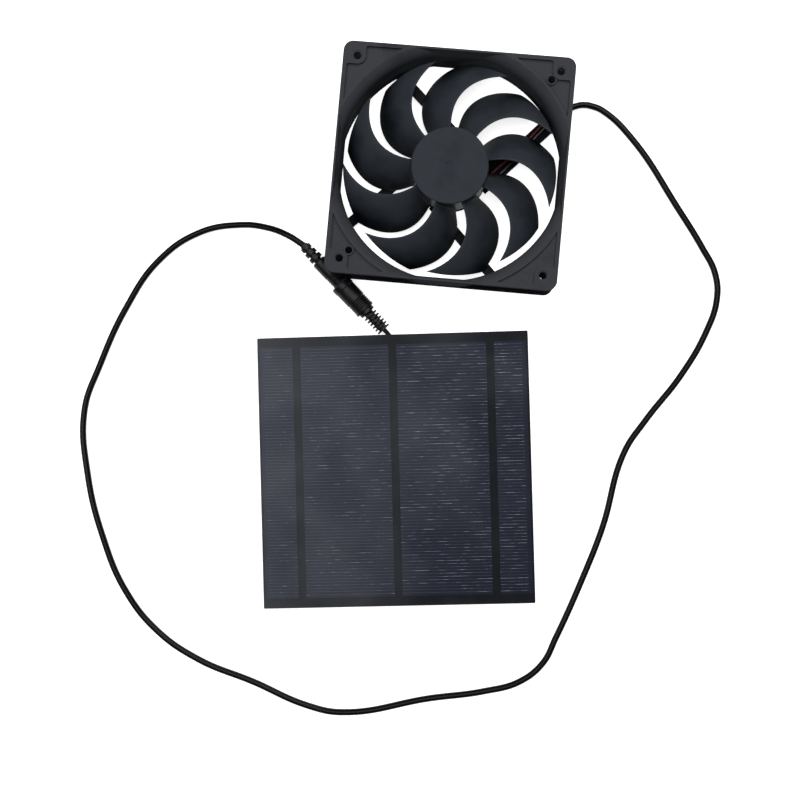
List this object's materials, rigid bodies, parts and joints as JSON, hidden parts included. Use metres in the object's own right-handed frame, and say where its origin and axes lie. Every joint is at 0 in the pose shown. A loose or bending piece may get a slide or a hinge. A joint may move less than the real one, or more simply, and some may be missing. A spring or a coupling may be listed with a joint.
{
  "type": "solar attic fan",
  "caption": "Square axial fan with a swept-blade impeller, a flexible lead with a round DC plug, and a small square solar panel with a junction box and matching socket.",
  "frame": {"origin": "fan axis on the rear face of the fan, which lies on the ground with the panel's junction box", "axes": "+Z along the fan axis from the rear to the open front, +X and +Y square to the fan's sides; the panel lies towards -Y"},
  "size_m": [0.3339, 0.3526, 0.025],
  "materials": {
    "frame_black": "satin moulded glass-filled PBT",
    "impeller_black": "satin moulded plastic",
    "pvc_black": "smooth soft PVC",
    "rubber_black": "matte moulded rubber",
    "steel": "ground",
    "silicon_steel": "stacked laminations",
    "nickel": "nickel plated",
    "brass": "turned",
    "bronze": "sintered, oil-filled",
    "copper": "enamelled winding",
    "ferrite": "rubber-bonded ferrite",
    "nylon_white": "moulded nylon",
    "board_green": "solder mask",
    "chip_black": "moulded epoxy",
    "can_silver": "satin can",
    "wire_red": "smooth PVC",
    "wire_black": "smooth PVC",
    "board_black": "satin epoxy board and moulded box",
    "silicon_blue": "blue-grey silicon with printed fingers",
    "ribbon_black": "dark interconnect strip",
    "film_clear": "satin laminating film",
    "zinc_screw": "zinc plated"
  },
  "bodies": {
    "fan": {"fan_frame": "frame_black", "stator_core": "silicon_steel", "lower_insulator": "nylon_white", "upper_insulator": "nylon_white", "coil_1": "copper", "coil_2": "copper", "coil_3": "copper", "coil_4": "copper", "fan_circuit_board": "board_green", "hall_sensor": "chip_black", "driver_chip": "chip_black", "board_capacitor": "can_silver", "thrust_pad": "nylon_white", "sleeve_bearing": "bronze", "oil_seal_ring": "rubber_black", "red_wire": "wire_red", "black_wire": "wire_black", "lead_sleeve": "rubber_black", "fan_lead": "pvc_black", "plug_strain_relief": "rubber_black", "plug_body": "rubber_black", "plug_barrel": "nickel", "plug_insulator": "chip_black"},
    "rotor": {"impeller": "impeller_black", "rotor_yoke_ring": "steel", "rotor_magnet_ring": "ferrite", "rotor_boss": "brass", "rotor_shaft": "steel", "retaining_clip": "nylon_white"},
    "panel": {"socket_body": "rubber_black", "socket_contact_sleeve": "nickel", "socket_centre_pin": "nickel", "socket_strain_relief": "rubber_black", "pigtail_cable": "pvc_black", "panel_board": "board_black", "cell_column_1": "silicon_blue", "cell_column_2": "silicon_blue", "cell_column_3": "silicon_blue", "cell_column_4": "silicon_blue", "bus_ribbon_1": "ribbon_black", "bus_ribbon_2": "ribbon_black", "bus_ribbon_3": "ribbon_black", "cover_film": "film_clear", "junction_box_shell": "board_black", "junction_box_lid": "board_black", "box_screw_1": "zinc_screw", "box_screw_2": "zinc_screw", "box_screw_3": "zinc_screw", "box_screw_4": "zinc_screw", "cable_gland": "rubber_black", "blocking_diode": "chip_black", "terminal_tab_positive": "nickel", "terminal_tab_negative": "nickel", "inner_red_wire": "wire_red", "inner_black_wire": "wire_black"}
  },
  "joints": [
    {"name": "impeller_spin", "type": "hinge", "parent": "fan", "child": "rotor", "pos_m": [0, 0, 0], "axis": [0, 0, -1], "continuous": true},
    {"name": "plug_pull", "type": "slide", "parent": "fan", "child": "panel", "axis": [0.7507, -0.6549, -0.0872], "range_m": [0, 0.0105]}
  ]
}
